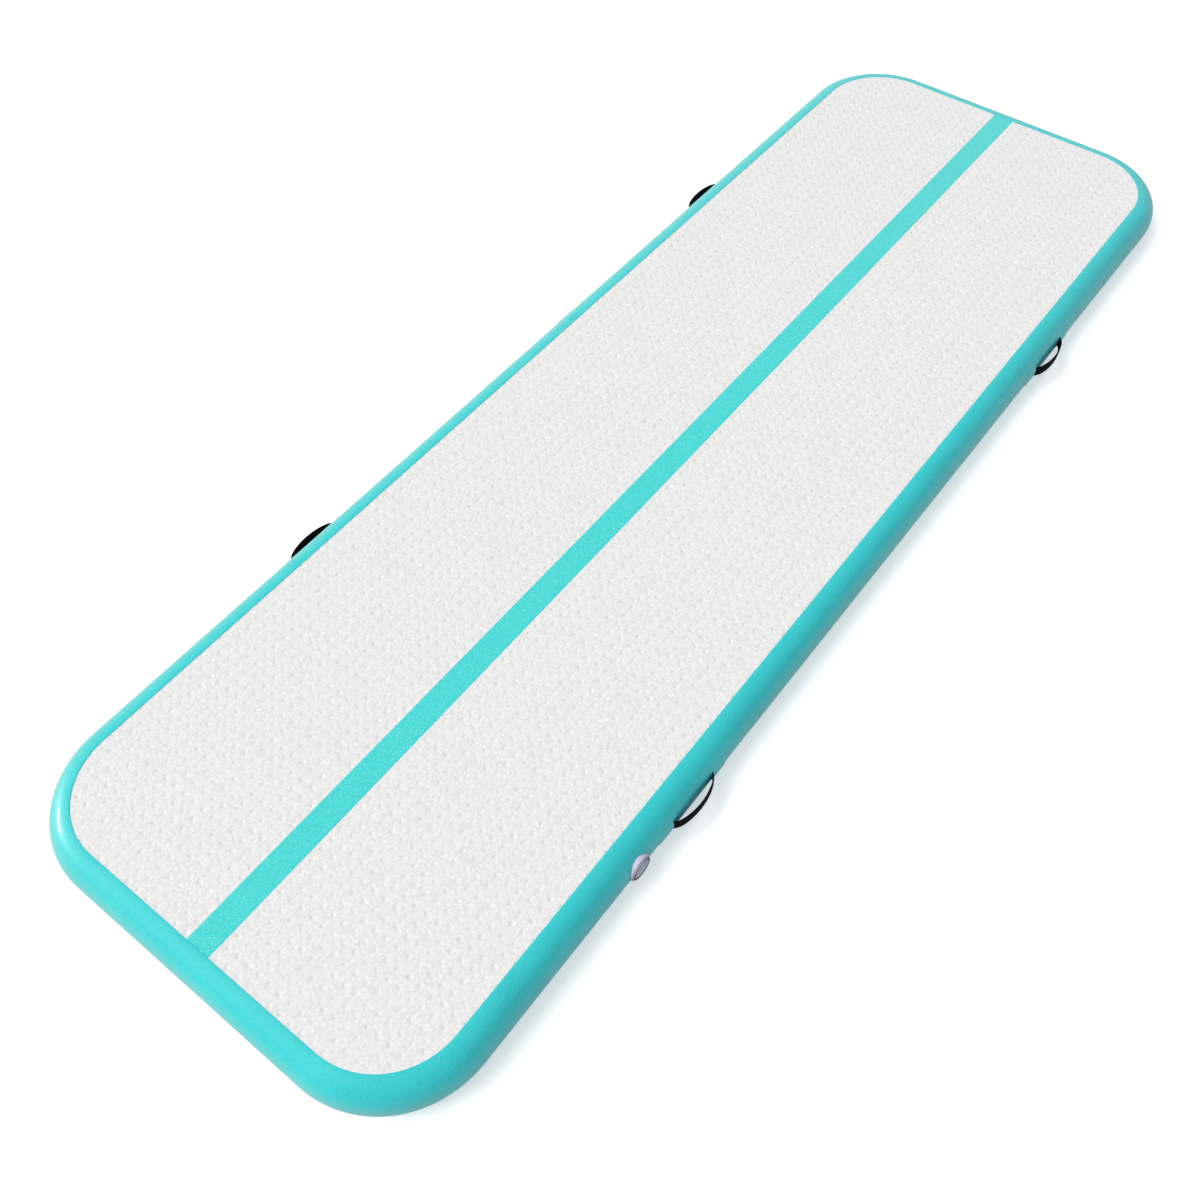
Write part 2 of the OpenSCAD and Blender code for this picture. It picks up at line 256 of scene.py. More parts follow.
# ---------------------------------------------------------------- shader helpers
class Net:
    """Short ways to add nodes to a tree. Values may be numbers, tuples or sockets."""

    def __init__(self, tree):
        self.tree = tree

    def fill(self, node, inputs):
        for key, value in inputs.items():
            socket = node.inputs[key]
            if isinstance(value, bpy.types.NodeSocket):
                self.tree.links.new(value, socket)
            elif socket.type == "RGBA":
                socket.default_value = (*value, 1.0)
            else:
                socket.default_value = value

    def surface(self, inputs):
        self.fill(self.bsdf, inputs)

    def node(self, kind, inputs={}, **props):
        node = self.tree.nodes.new(kind)
        for key, value in props.items():
            setattr(node, key, value)
        self.fill(node, inputs)
        return node

    def coords(self, kind="Object"):
        return self.node("ShaderNodeTexCoord").outputs[kind]

    def sep(self, vec):
        return self.node("ShaderNodeSeparateXYZ", {0: vec}).outputs

    def noise(self, vec, scale, detail=2.0, rough=0.5, distortion=0.0):
        return self.node("ShaderNodeTexNoise", {
            "Vector": vec, "Scale": scale, "Detail": detail, "Roughness": rough,
            "Distortion": distortion}).outputs["Fac"]

    def voronoi(self, vec, scale, randomness, feature="F1", **smoothness):
        inputs = {"Vector": vec, "Scale": scale, "Randomness": randomness}
        if smoothness:
            inputs["Smoothness"] = smoothness["smoothness"]
        return self.node("ShaderNodeTexVoronoi", inputs, feature=feature).outputs["Distance"]

    def math(self, operation, *operands):
        inputs = dict(enumerate(operands))
        return self.node("ShaderNodeMath", inputs, operation=operation).outputs[0]

    def times(self, a, b):
        return self.math("MULTIPLY", a, b)

    def plus(self, a, b):
        return self.math("ADD", a, b)

    def remap(self, value, span, to):
        inputs = dict(enumerate((value, *span, *to)))
        return self.node("ShaderNodeMapRange", inputs).outputs[0]

    def mix(self, amount, a, b):
        return self.node("ShaderNodeMix", {0: amount, 6: a, 7: b}, data_type="RGBA").outputs[2]

    def tint(self, colour, field, other, span, amount):
        """Mixes in another colour, by an amount that follows a field over a span."""
        return self.mix(self.remap(field, span, amount), colour, other)

    def bump(self, height, strength, distance, under=None):
        inputs = {"Strength": strength, "Distance": distance, "Height": height}
        if under is not None:
            inputs["Normal"] = under
        return self.node("ShaderNodeBump", inputs).outputs[0]


def new_material(name):
    mat = bpy.data.materials.new(name)
    mat.use_nodes = True
    mat.node_tree.nodes.clear()
    net = Net(mat.node_tree)
    output = net.node("ShaderNodeOutputMaterial")
    net.bsdf = net.node("ShaderNodeBsdfPrincipled")
    net.fill(output, {0: net.bsdf.outputs[0]})
    return mat, net


def srgb(*channels):
    """0..255 display values to linear colour."""
    def linear(value):
        value /= 255.0
        return value / 12.92 if value <= 0.04045 else ((value + 0.055) / 1.055) ** 2.4
    return tuple(linear(channel) for channel in channels)


# ---------------------------------------------------------------- materials
def teal_pvc(name, base=(44, 208, 207), deep=(28, 191, 195), grain=0.10):
    """Coated PVC sheet: fine cloth print-through, faint mottling, soft gloss, and a painted pale
    reflection at grazing angles.
    """
    mat, net = new_material(name)
    pos = net.coords()
    broad = net.noise(pos, scale=9.0, detail=3.0, rough=0.55)
    fine = net.noise(pos, scale=260.0, detail=3.0, rough=0.6)
    colour = net.tint(srgb(*base), broad, srgb(*deep), span=(0.3, 0.7), amount=(0.0, 0.35))
    grit = net.noise(pos, scale=400.0, detail=4.0, rough=0.66)
    colour = net.tint(colour, grit, srgb(196, 240, 238), span=(0.50, 0.66), amount=(0.0, grain))
    colour = net.tint(colour, grit, srgb(20, 176, 182),
                      span=(0.34, 0.50), amount=(grain * 1.3, 0.0))
    colour = net.tint(colour, fine, srgb(110, 240, 238), span=(0.35, 0.65), amount=(0.0, 0.08))
    specks = net.noise(pos, scale=620.0, detail=2.0, rough=0.6)
    colour = net.tint(colour, specks, srgb(20, 168, 174), span=(0.32, 0.52), amount=(0.16, 0.0))
    # painted reflection: greyer where seen at a grazing angle, standing in for the pale floor's
    # reflection near the silhouette
    graze_painted_reflection = net.node("ShaderNodeLayerWeight").outputs["Facing"]
    colour = net.tint(colour, graze_painted_reflection, srgb(176, 202, 192), span=(0.28, 1.0), amount=(0.0, 0.38))
    rough = net.remap(net.noise(pos, scale=60.0, detail=3.0), span=(0.3, 0.7), to=(0.40, 0.50))
    weave = net.voronoi(pos, scale=900.0, randomness=0.35)
    normal = net.bump(weave, strength=0.12, distance=0.0003)
    normal = net.bump(net.noise(pos, scale=420.0, detail=3.0, rough=0.6),
                      strength=0.10, distance=0.0005, under=normal)
    normal = net.bump(net.noise(pos, scale=22.0), strength=0.06, distance=0.004, under=normal)
    net.surface({"Base Color": colour, "Roughness": rough, "IOR": 1.48, "Coat Weight": 0.22,
                 "Coat Roughness": 0.16, "Normal": normal})
    return mat


def panel_skin(name):
    """Drop-stitch face: fine pebbled grain, a faint speckle, a dimple at each stitch."""
    light, dark = srgb(244, 242, 239), srgb(202, 200, 199)
    warm, cool = srgb(245, 236, 229), srgb(235, 239, 238)
    # stitch dimples: pitch and first place along X, then along Y, and their radius
    stitches = ((0.0255, 0.0154), (0.0251, 0.0164))
    dimple_r = 0.0031

    mat, net = new_material(name)
    pos = net.coords()
    pebble = net.voronoi(pos, scale=130.0, randomness=1.0, feature="SMOOTH_F1", smoothness=0.35)
    grit = net.noise(pos, scale=210.0, detail=4.0, rough=0.65)
    micro = net.noise(pos, scale=900.0, detail=2.0, rough=0.6)
    cloud = net.noise(pos, scale=5.0, detail=3.0)
    blotch = net.noise(pos, scale=34.0)
    patchy = net.tint(warm, cloud, cool, span=(0.35, 0.65), amount=(0.0, 1.0))
    colour = net.tint(light, blotch, patchy, span=(0.4, 0.6), amount=(0.20, 0.0))
    coarse = net.noise(pos, scale=96.0, detail=2.0, rough=0.55)
    colour = net.tint(colour, grit, dark, span=(0.34, 0.64), amount=(0.42, 0.0))
    colour = net.tint(colour, coarse, dark, span=(0.36, 0.58), amount=(0.11, 0.0))
    colour = net.tint(colour, pebble, dark, span=(0.25, 0.75), amount=(0.0, 0.18))
    rough = net.remap(grit, span=(0.3, 0.7), to=(0.62, 0.52))

    axes = net.sep(pos)
    squares = []
    for axis, (pitch, first) in zip((axes[0], axes[1]), stitches):
        phase = net.plus(net.times(axis, 1 / pitch), 0.5 - first / pitch)
        offset = net.math("SUBTRACT", net.math("FRACT", phase), 0.5)
        offset = net.times(offset, pitch / dimple_r)
        squares.append(net.times(offset, offset))
    dimple = net.math("EXPONENT", net.times(net.plus(*squares), -0.5))
    normal = net.bump(net.times(dimple, -1.0), strength=1.0, distance=0.0011)
    normal = net.bump(pebble, strength=0.45, distance=0.0012, under=normal)
    normal = net.bump(grit, strength=0.42, distance=0.0010, under=normal)
    normal = net.bump(micro, strength=0.12, distance=0.0003, under=normal)
    net.surface({"Base Color": colour, "Roughness": rough, "IOR": 1.46, "Normal": normal})
    return mat


def webbing(name):
    """Black woven webbing: raised warp columns crossed by weft picks, in herringbone, with painted
    shade in the weave's low places.
    """
    turn = 2 * math.pi
    mat, net = new_material(name)
    axes = net.sep(net.coords("UV"))        # U runs along the webbing, V across it, in metres
    wave = net.math("SINE", net.times(axes[1], turn / RIB_PITCH))
    column = net.math("SIGN", wave)
    along = net.times(axes[0], turn / PICK_PITCH)
    slant = net.times(net.times(axes[1], turn / SLANT_PITCH), column)
    pick = net.math("SINE", net.plus(along, slant))
    ridge = net.math("ABSOLUTE", wave)
    height = net.plus(net.times(pick, 0.5), net.times(ridge, 0.7))
    fuzz = net.noise(net.coords(), scale=2400.0, detail=2.0, rough=0.7)
    height = net.plus(height, net.times(fuzz, 0.35))
    # painted shade: the weave's low places darker and its raised threads lighter, following the bump's
    # height
    colour = net.tint(srgb(1, 1, 1), height, srgb(14, 14, 15),
                      span=(-0.4, 1.4), amount=(0.0, 1.0))
    net.surface({
        "Base Color": colour,
        "Roughness": net.remap(fuzz, span=(0.3, 0.7), to=(0.62, 0.82)),
        "Specular IOR Level": 0.08,
        "IOR": 1.42,
        "Normal": net.bump(height, strength=0.55, distance=0.00022)})
    return mat


def mould_surface(net, pos, colour, rough):
    """Fine spark-eroded texture over a colour."""
    sheen = net.remap(net.noise(pos, scale=500.0), span=(0.3, 0.7), to=(rough - 0.05, rough + 0.07))
    normal = net.bump(net.noise(pos, scale=3200.0, detail=2.0, rough=0.6),
                      strength=0.10, distance=0.0001)
    normal = net.bump(net.noise(pos, scale=300.0), strength=0.05, distance=0.0004, under=normal)
    net.surface({"Base Color": colour, "Roughness": sheen, "IOR": 1.49, "Normal": normal})


def moulded(name, colour, dark, rough, coat=0.0):
    """Injection-moulded plastic with a slight flow mottling."""
    mat, net = new_material(name)
    pos = net.coords()
    flow = net.noise(pos, scale=70.0, detail=3.0, rough=0.55, distortion=0.6)
    mottled = net.tint(srgb(*colour), flow, srgb(*dark), span=(0.35, 0.65), amount=(0.0, 0.30))
    mould_surface(net, pos, mottled, rough)
    net.surface({"Coat Weight": coat, "Subsurface Weight": 0.06,
                 "Subsurface Radius": (0.002, 0.002, 0.0022)})
    return mat


def cap_plastic(name):
    """The cap's moulding: pale lilac side, a painted shade line round the crown of the rim, grey face.
    """
    face_r = (0.0202, 0.0206)       # blend from the grey face to the painted shade line
    crown = (0.0040, 0.0045)        # blend from the side to the painted shade line, out from the wall

    mat, net = new_material(name)
    pos = net.coords()
    axes = net.sep(pos)
    along = net.math("SUBTRACT", axes[1], VALVE.y)
    up = net.math("SUBTRACT", axes[2], VALVE.z)
    radius = net.math("SQRT", net.plus(net.times(along, along), net.times(up, up)))
    flow = net.noise(pos, scale=90.0, detail=3.0, rough=0.55, distortion=0.6)
    radius = net.plus(radius, net.times(net.math("SUBTRACT", flow, 0.5), 0.0006))
    side = net.tint(srgb(212, 203, 224), flow, srgb(200, 191, 214),
                    span=(0.35, 0.65), amount=(0.0, 0.35))
    face = net.tint(srgb(206, 214, 214), flow, srgb(190, 197, 200),
                    span=(0.35, 0.65), amount=(0.0, 0.50))
    inside = net.remap(radius, span=face_r, to=(1.0, 0.0))
    # painted shade: the crown of the rim darkened, standing in for the shadow of the knurled edge and
    # the gap round the face
    above = net.remap(axes[0], span=[VALVE.x + out for out in crown], to=(0.0, 1.0))
    colour = net.mix(above, side, srgb(84, 84, 92))
    colour = net.mix(inside, colour, face)
    mould_surface(net, pos, colour, rough=0.45)
    return mat


def rubber(name):
    mat, net = new_material(name)
    pos = net.coords()
    net.surface({
        "Base Color": net.tint(srgb(38, 38, 41), net.noise(pos, scale=120.0, detail=3.0),
                               srgb(58, 58, 62), span=(0.3, 0.7), amount=(0.0, 1.0)),
        "Roughness": net.remap(net.noise(pos, scale=800.0), span=(0.3, 0.7), to=(0.62, 0.78)),
        "Normal": net.bump(net.noise(pos, scale=1500.0, detail=3.0, rough=0.6),
                           strength=0.18, distance=0.0002)})
    return mat


def wire(name):
    mat, net = new_material(name)
    stretched = net.node("ShaderNodeVectorMath", {0: net.coords(), 1: (1.0, 6.0, 6.0)},
                         operation="MULTIPLY").outputs[0]
    streak = net.noise(stretched, scale=900.0, detail=3.0, rough=0.6)
    net.surface({
        "Base Color": net.mix(streak, srgb(150, 152, 156), srgb(205, 206, 210)),
        "Metallic": 1.0,
        "Roughness": net.remap(streak, span=(0.3, 0.7), to=(0.22, 0.36)),
        "Normal": net.bump(streak, strength=0.08, distance=0.00008)})
    return mat


def yarn(name):
    mat, net = new_material(name)
    pos = net.coords()
    axes = net.sep(pos)
    twist = net.math("SINE", net.plus(net.times(axes[2], 1800.0), net.times(axes[0], 2200.0)))
    # painted shade: the yarn darker in the twist's grooves and lighter on its crests, following the
    # bump
    net.surface({
        "Base Color": net.tint(srgb(206, 206, 204), twist, srgb(240, 240, 238),
                               span=(-1, 1), amount=(0, 1)),
        "Roughness": net.remap(net.noise(pos, scale=1500.0), span=(0.3, 0.7), to=(0.7, 0.85)),
        "Normal": net.bump(twist, strength=0.4, distance=0.0004)})
    return mat


M_WALL = teal_pvc("teal_wall")
M_LINE = teal_pvc("teal_line", base=(58, 217, 211), deep=(44, 208, 204), grain=0.26)
M_PATCH = teal_pvc("teal_patch")
M_PANEL = panel_skin("panel_skin")
M_WEB = webbing("black_webbing")
M_BODY = moulded("valve_body_plastic", colour=(209, 202, 221), dark=(196, 189, 209),
                 rough=0.36, coat=0.1)
M_CAP = cap_plastic("valve_cap_plastic")
M_STEM = moulded("valve_stem_plastic", colour=(222, 218, 228), dark=(208, 203, 216), rough=0.34)
M_LEASH = moulded("leash_plastic", colour=(188, 182, 200), dark=(172, 166, 186), rough=0.5)
M_RUBBER = rubber("soft_rubber")
M_WIRE = wire("spring_wire")
M_YARN = yarn("polyester_yarn")


# ---------------------------------------------------------------- top and bottom panels
def panel_rows(step, corner_steps):
    """Rows across the flat face: y, half width. They bunch up at the corners' arcs."""
    count = int(round(2 * CORNER_Y / step))
    edge_x = CORNER_X + FACE_CORNER
    rows = [(-CORNER_Y + 2 * CORNER_Y * k / count, edge_x) for k in range(1, count)]
    far = []
    for k in range(corner_steps + 1):
        a = math.radians(90 * k / corner_steps)
        far.append((CORNER_Y + FACE_CORNER * math.sin(a), CORNER_X + FACE_CORNER * math.cos(a)))
    near = [(-y, half_width) for y, half_width in reversed(far)]
    return np.array(near + rows + far).T


def relief(x, y):
    """Lie of the inflated face: slow waves, yarn dimples and grain. Never above zero."""
    slow = value_noise(x / 0.17, y / 0.21, 3) + 0.5 * value_noise(x / 0.07, y / 0.08, 5)
    waver = 0.6 * value_noise(x / 0.05, y / 0.05, 8)
    dimple = np.cos(2 * np.pi * x / 0.0185 + waver) * np.cos(2 * np.pi * y / 0.0205)
    grain = value_noise(x / 0.0105, y / 0.0105, 11)
    height = 0.00010 * slow + 0.00006 * dimple + 0.00007 * grain
    # fades out over the last 30 mm before the edge
    past_x = np.abs(x) - CORNER_X
    past_y = np.abs(y) - CORNER_Y
    depth = FACE_CORNER - np.hypot(np.maximum(past_x, 0), np.maximum(past_y, 0))
    depth = np.where((past_x <= 0) & (past_y <= 0),
                     np.minimum(-past_x, -past_y) + FACE_CORNER, depth)
    return (height - 0.00022) * ease(0.0, 0.03, depth)


def margin_profile(top, drawn_in):
    """Section of a skin's margin, from the face's edge: out, height."""
    inner_r = MARGIN_R - 1.2 * MM
    if top:
        start = [(-drawn_in, PANEL_Z - 0.5 * MM),
                 (-drawn_in + 0.05 * MM, WALL_R + MARGIN_R + 0.1 * MM)]
        outer = (88, 80, 73, 66, 59, 53, 49)
        inner = (49, 56, 64, 72, 80, 90)
        end = [(-1.4 * MM, WALL_R + inner_r), (-1.4 * MM, PANEL_Z - 1.2 * MM)]
    else:
        start = [(-drawn_in, 0.4 * MM), (-drawn_in + 0.05 * MM, 1.5 * MM),
                 (0.0, WALL_R - MARGIN_R)]
        outer = (-84, -77, -70, -62, -55, -49)
        inner = (-49, -58, -68, -79, -90)
        end = [(-drawn_in - 1.3 * MM, WALL_R - inner_r), (-drawn_in - 1.3 * MM, 1.3 * MM)]
    return (start + [wall_point(MARGIN_R, a) for a in outer]
            + [wall_point(inner_r, a) for a in inner] + end)


def shifted(ring):
    return ring[1:] + ring[:1]


def build_panel(name, node, top, step, cols, corner_steps):
    # the face stops this far inside its nominal edge
    drawn_in = 0.2 * MM if top else LIP + 0.4 * MM
    shrink = (FACE_CORNER - drawn_in) / FACE_CORNER
    ys, widths = panel_rows(step, corner_steps)
    in_corner = np.abs(ys) > CORNER_Y
    widths = np.where(in_corner, CORNER_X + (widths - CORNER_X) * shrink,
                      CORNER_X + FACE_CORNER - drawn_in)
    ys = np.where(in_corner, np.sign(ys) * (CORNER_Y + (np.abs(ys) - CORNER_Y) * shrink), ys)

    grid_x = widths[:, None] * np.linspace(-1, 1, cols)[None, :]
    grid_y = np.repeat(ys[:, None], cols, 1)
    lie = relief(grid_x, grid_y)
    verts = points(grid_x, grid_y, PANEL_Z + lie if top else -0.275 * lie)
    rows = len(ys)
    if top:
        faces = [face[::-1] for face in quads(rows, cols)]
    else:
        faces = quads(rows, cols, flip=True)

    # outline of the grid, in order, and the outward direction at each of its points
    ids = np.arange(rows * cols).reshape(rows, cols)
    outline = np.concatenate([ids[:, -1], ids[-1, -2::-1], ids[-2::-1, 0], ids[0, 1:-1]]).tolist()
    edge = verts[outline][:, :2]
    past = np.sign(edge) * np.maximum(np.abs(edge) - (CORNER_X, CORNER_Y), 0)
    outward = past / np.maximum(np.hypot(past[:, 0], past[:, 1]), 1e-9)[:, None]

    rings = [verts]
    count = len(outline)
    previous = outline
    for k, (out, z) in enumerate(margin_profile(top, drawn_in)):
        ring = edge + outward * (out + drawn_in)
        rings.append(points(ring[:, 0], ring[:, 1], z))
        first = len(verts) + k * count
        current = list(range(first, first + count))
        faces += zip(previous, shifted(previous), shifted(current), current)
        previous = current
    faces.append(tuple(previous))
    ob = fix_normals(make(name, np.concatenate(rings), faces))
    finish(ob, 50, M_PANEL, node, "mat")


build_panel("top_panel", "top_skin", top=True, step=6.2 * MM, cols=145, corner_steps=34)
build_panel("bottom_panel", "bottom_skin", top=False, step=14 * MM, cols=65, corner_steps=24)


# ---------------------------------------------------------------- side wall band
def rim_stations(step, corner_steps):
    """Stations round the flat face's edge, as columns: x, y, outward x and y,
    distance round, and how far into a corner (0..1)."""
    edge_x, edge_y = CORNER_X + FACE_CORNER, CORNER_Y + FACE_CORNER
    # start of the straight, outward direction, length, centre of the corner after it
    sides = [
        ((edge_x, -CORNER_Y), (1, 0), 2 * CORNER_Y, (CORNER_X, CORNER_Y)),
        ((CORNER_X, edge_y), (0, 1), 2 * CORNER_X, (-CORNER_X, CORNER_Y)),
        ((-edge_x, CORNER_Y), (-1, 0), 2 * CORNER_Y, (-CORNER_X, -CORNER_Y)),
        ((-CORNER_X, -edge_y), (0, -1), 2 * CORNER_X, (CORNER_X, -CORNER_Y)),
    ]
    corner_run = CORNER * math.radians(90)
    stations = []
    run = 0.0
    for side, ((x, y), (out_x, out_y), length, (centre_x, centre_y)) in enumerate(sides):
        count = max(2, int(round(length / step)))
        for k in range(count):
            t = k / count * length
            stations.append((x - out_y * t, y + out_x * t, out_x, out_y, run + t, 0.0))
        run += length
        for k in range(corner_steps):
            a = math.radians(side * 90 + 90 * k / corner_steps)
            stations.append((centre_x + FACE_CORNER * math.cos(a),
                             centre_y + FACE_CORNER * math.sin(a), math.cos(a), math.sin(a),
                             run + corner_run * k / corner_steps,
                             math.sin(math.pi * k / corner_steps)))
        run += corner_run
    return np.array(stations).T


def wall_radius(degrees, run, corner):
    """Outer radius of the bulge at an angle up from level: slightly proud where the
    skins' margins lie under it."""
    tilt = abs(degrees)
    radius = WALL_R - 0.22 * MM * (1 - ease(47.0, 51.0, tilt))
    # faint gathers near the lips in the corners
    gather = (np.sin(2 * np.pi * run / 0.0165 + 2.2 * line_noise(run / 0.04, 21))
              * (0.6 + 0.4 * line_noise(run / 0.03, 23)))
    near_lip = ease(58, 74, tilt) * (1 - ease(84, 89.5, tilt))
    radius = radius - 0.10 * MM * (1 + gather) * corner * near_lip
    # slow unevenness
    angles = np.full(len(run), degrees)
    slow = (0.14 * MM * value_noise(run / 0.16, angles / 26.0, 31)
            + 0.05 * MM * value_noise(run / 0.05, angles / 14.0, 33))
    return radius - (0.19 * MM + slow) * (1 - ease(78, 88, tilt)) * 0.9


def build_band():
    gap = 0.05 * MM                 # between the band and the skins
    bevel = 0.35 * MM               # at the lips' edges
    inner_r = WALL_R - 0.9 * MM
    port_r = 20.3 * MM              # hole for the valve's neck
    x, y, out_x, out_y, run, corner = rim_stations(10.5 * MM, 34)
    lip = -LIP + 0.10 * MM * line_noise(run / 0.06, 41)
    margin_low = WALL_R - MARGIN_R - gap
    angles = np.concatenate([
        np.linspace(88.5, 52, 15), np.linspace(50.6, 46.6, 5), np.linspace(44, -44, 25),
        np.linspace(-46.6, -50.6, 5), np.linspace(-52, -88.5, 15)])
    # closed section: out from the flat face's edge, height
    profile = [
        (lip, PANEL_Z + gap), (lip, THICK - bevel), (lip + 0.3 * bevel, THICK - 0.3 * bevel),
        (lip + bevel, THICK), (0.0, THICK)]
    profile += [wall_point(wall_radius(a, run, corner), a) for a in angles]
    profile += [
        (0.0, 0.0), (lip + bevel, 0.0), (lip + 0.3 * bevel, 0.3 * bevel), (lip, bevel),
        (lip, margin_low), (0.0, margin_low)]
    profile += [wall_point(inner_r, a)
                for a in (-86, -76, -64, -50, -34, -17, 0, 17, 34, 50, 64, 76, 86)]
    profile.append((0.0, PANEL_Z + gap))
    out = np.stack([u + 0 * run for u, _ in profile], 1)
    height = np.stack([z + 0 * run for _, z in profile], 1)
    verts = points(x[:, None] + out * out_x[:, None], y[:, None] + out * out_y[:, None], height)
    faces = quads(len(run), len(profile), wrap_rows=True, wrap_cols=True)
    ob = fix_normals(make("wall_band", verts, faces))

    bm = bmesh.new()
    place = Matrix.Translation(VALVE) @ Matrix.Rotation(math.radians(90), 4, "Y")
    bmesh.ops.create_cone(bm, cap_ends=True, segments=96, radius1=port_r, radius2=port_r,
                          depth=0.03, matrix=place)
    mesh = bpy.data.meshes.new("cut")
    bm.to_mesh(mesh)
    bm.free()
    cutter = bpy.data.objects.new("cut", mesh)
    scene.collection.objects.link(cutter)
    boolean(ob, cutter, "DIFFERENCE")
    finish(ob, 40, M_WALL, "side_wall_band", "mat")


build_band()


# ---------------------------------------------------------------- centre line
def build_line():
    half_w = (LINE_HIGH.x - LINE_LOW.x) / 2
    half_l = LINE_HIGH.y - 0.02 * MM
    # across the line: place as a share of its half width, height above the face in mm
    section = np.array([
        (-1, 0.18), (-0.992, 0.36), (-0.975, 0.45), (-0.8, 0.45), (-0.5, 0.45), (-0.2, 0.45),
        (0.2, 0.45), (0.5, 0.45), (0.8, 0.45), (0.975, 0.45), (0.992, 0.36), (1.0, 0.18)])
    across = section[:, 0][None, :]
    lift = section[:, 1] * MM
    rows, cols = 480, len(section)
    ys = np.linspace(-half_l, half_l, rows)
    # each edge wavers on its own
    waver_low, waver_high = (0.12 * MM * line_noise(ys / 0.09, seed)[:, None]
                             for seed in (51, 53))
    x = half_w * across + np.where(across < 0, waver_low, waver_high) * (np.abs(across) > 0.9)
    y = np.repeat(ys[:, None], cols, 1)
    lie = PANEL_Z + relief(x, y)
    verts = np.concatenate([points(x, y, lie + lift[None, :]), points(x, y, lie - 0.10 * MM)])
    under = rows * cols             # from a top point's index to the one below it
    faces = quads(rows, cols) + quads(rows, cols, flip=True, base=under)
    for i in range(rows - 1):
        a, b = i * cols, (i + 1) * cols
        faces.append((a, b, b + under, a + under))
        a, b = a + cols - 1, b + cols - 1
        faces.append((a, a + under, b + under, b))
    for j in range(cols - 1):
        faces.append((j, j + under, j + 1 + under, j + 1))
        k = (rows - 1) * cols + j
        faces.append((k, k + 1, k + 1 + under, k + under))
    ob = fix_normals(make("centre_line", verts, faces))
    finish(ob, 55, M_LINE, "centre_stripe", "mat")


build_line()


# ---------------------------------------------------------------- sheets that lie on the wall
def wall_sheet(name, node, side, mid_y, ys, arcs, height, keep, inner):
    """A closed sheet on the wall. ys: distances along; arcs: distances up the bulge from
    level; height and inner: its two faces, above the wall's radius; keep: which cells exist."""
    rows, cols = len(ys), len(arcs)
    angles = arcs[None, :] / WALL_R

    def place(rise):
        radius = WALL_R + rise
        return points(side * (HALF_W - WALL_R + radius * np.cos(angles)),
                      (mid_y + ys)[:, None], WALL_R + radius * np.sin(angles))

    verts = np.concatenate([place(height), place(np.full((rows, cols), inner))])
    under = rows * cols
    faces = []
    for i in range(rows - 1):
        for j in range(cols - 1):
            if not keep[i, j]:
                continue
            a, b = i * cols + j, (i + 1) * cols + j
            c, d = b + 1, a + 1
            faces.append((a, b, c, d))
            faces.append((a + under, d + under, c + under, b + under))
            # close the sides that have no neighbouring cell
            for di, dj, start, end in ((-1, 0, d, a), (1, 0, b, c), (0, -1, a, b), (0, 1, c, d)):
                ni, nj = i + di, j + dj
                inside = 0 <= ni < rows - 1 and 0 <= nj < cols - 1
                if not inside or not keep[ni, nj]:
                    faces.append((end, start, start + under, end + under))
    ob = make(name, verts, faces)
    with editing(ob) as bm:
        loose = [vert for vert in bm.verts if not vert.link_faces]
        bmesh.ops.delete(bm, geom=loose, context="VERTS")
        bmesh.ops.recalc_face_normals(bm, faces=bm.faces)
    finish(ob, 60, M_PATCH, node, "mat")


def rounded_depth(y, arc_up, half_y, half_arc, radius):
    """Distance inside the edge of a rounded rectangle."""
    past_y = np.abs(y) - (half_y - radius)
    past_up = np.abs(arc_up) - (half_arc - radius)
    out = (np.hypot(np.maximum(past_y, 0), np.maximum(past_up, 0))
           + np.minimum(np.maximum(past_y, past_up), 0))
    return radius - out


def unique_stops(*parts):
    return np.unique(np.round(np.concatenate(parts), 6))


def cell_centres(ys, arcs):
    return np.meshgrid((ys[:-1] + ys[1:]) / 2, (arcs[:-1] + arcs[1:]) / 2, indexing="ij")


def build_handle_patch(key):
    side, mid_y, _ = HANDLES[key]
    half_y, half_arc, radius = LOOP_HALF + 46 * MM, 23.9 * MM, 12 * MM
    fine_end = half_y - 14 * MM     # finer stops beyond this
    near_slit = np.array([2.6, 1.9, 1.6, 1.3, -1.6, -1.9, -2.4]) * MM
    ys = unique_stops(
        np.linspace(-half_y, -fine_end, 15), np.linspace(-fine_end, -SLIT, 30),
        -SLIT - near_slit, np.linspace(-SLIT + 4 * MM, SLIT - 4 * MM, 26), SLIT + near_slit,
        np.linspace(SLIT, fine_end, 30), np.linspace(fine_end, half_y, 15))
    arcs = unique_stops(np.linspace(-half_arc, half_arc, 53),
                        np.array([-14.2, -13.9, 13.9, 14.2]) * MM)
    along, up = np.meshgrid(ys, arcs, indexing="ij")
    depth = rounded_depth(along, up, half_y, half_arc, radius)
    height = -0.30 * MM + 0.80 * MM * np.sqrt(ease(-0.0002, 0.0045, depth))
    # raised where the webbing tails lie underneath
    reach = np.abs(along)
    hump = (ease(SLIT, SLIT + 2.0 * MM, reach)
            * (1 - ease(LOOP_HALF + 35.2 * MM, LOOP_HALF + 45.5 * MM, reach))
            * (1 - ease(12.6 * MM, 21.0 * MM, np.abs(up))))
    height = height + 1.22 * MM * hump
    ripple = value_noise(along / 0.011, up / 0.009, 61 + side)
    height = height + 0.05 * MM * ripple * ease(0.001, 0.006, depth)
    # pressed weld border just inside the edge
    height = height - 0.06 * MM * np.exp(-(((depth - 3.6 * MM) / (1.1 * MM)) ** 2))
    cell_y, cell_up = cell_centres(ys, arcs)
    slit = (np.abs(np.abs(cell_y) - SLIT) < 1.45 * MM) & (np.abs(cell_up) < 14.05 * MM)
    keep = (rounded_depth(cell_y, cell_up, half_y, half_arc, radius) > 0) & ~slit
    wall_sheet("patch_" + key, "handle_patch_" + key, side, mid_y, ys, arcs, height, keep,
               inner=-0.40 * MM)


for handle in HANDLES:
    build_handle_patch(handle)


